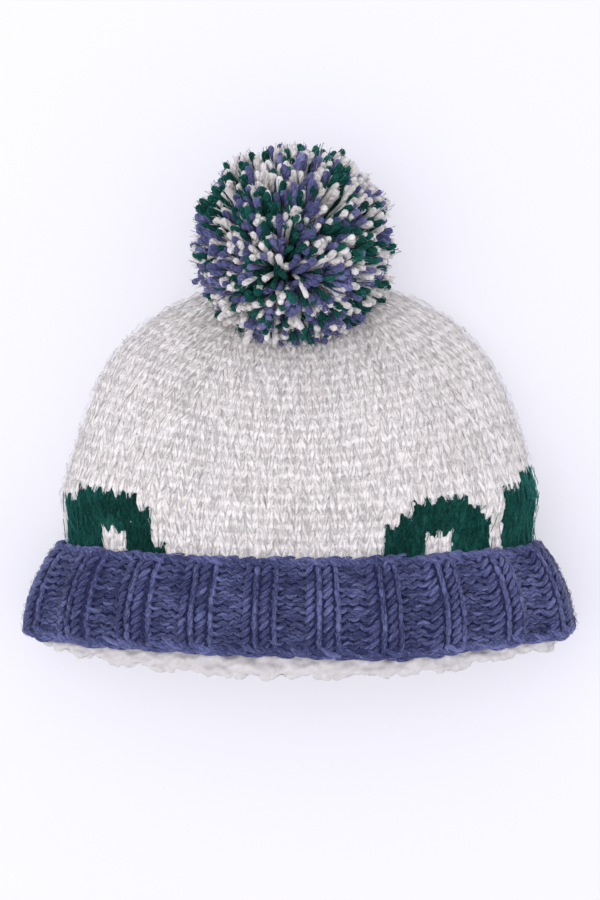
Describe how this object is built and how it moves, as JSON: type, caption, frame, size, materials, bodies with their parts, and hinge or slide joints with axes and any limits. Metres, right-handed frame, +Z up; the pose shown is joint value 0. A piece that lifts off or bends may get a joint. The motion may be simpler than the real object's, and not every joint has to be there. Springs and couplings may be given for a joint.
{
  "type": "bobble hat",
  "caption": "Knitted bobble hat lying on its back: domed wool crown with plain arches, turned-up ribbed cuff, nubby fleece lining and a yarn pompom at the top.",
  "frame": {"origin": "middle of the lying hat's box, on the surface it lies on", "axes": "+Z up from the surface, +Y from the mouth to the pompom, +X to the right as seen from above"},
  "size_m": [0.2476, 0.2352, 0.0904],
  "materials": {
    "oatmeal_knit": "soft marled wool in stocking stitch, matt",
    "blue_rib": "heather blue wool in two-by-two rib, matt",
    "cream_fleece": "nubby curled fleece, matt",
    "mixed_yarn": "cut wool yarn in cream, blue and green, matt"
  },
  "bodies": {
    "root": {"crown": "oatmeal_knit", "cuff": "blue_rib", "lining": "cream_fleece", "pompom": "mixed_yarn"}
  },
  "joints": []
}
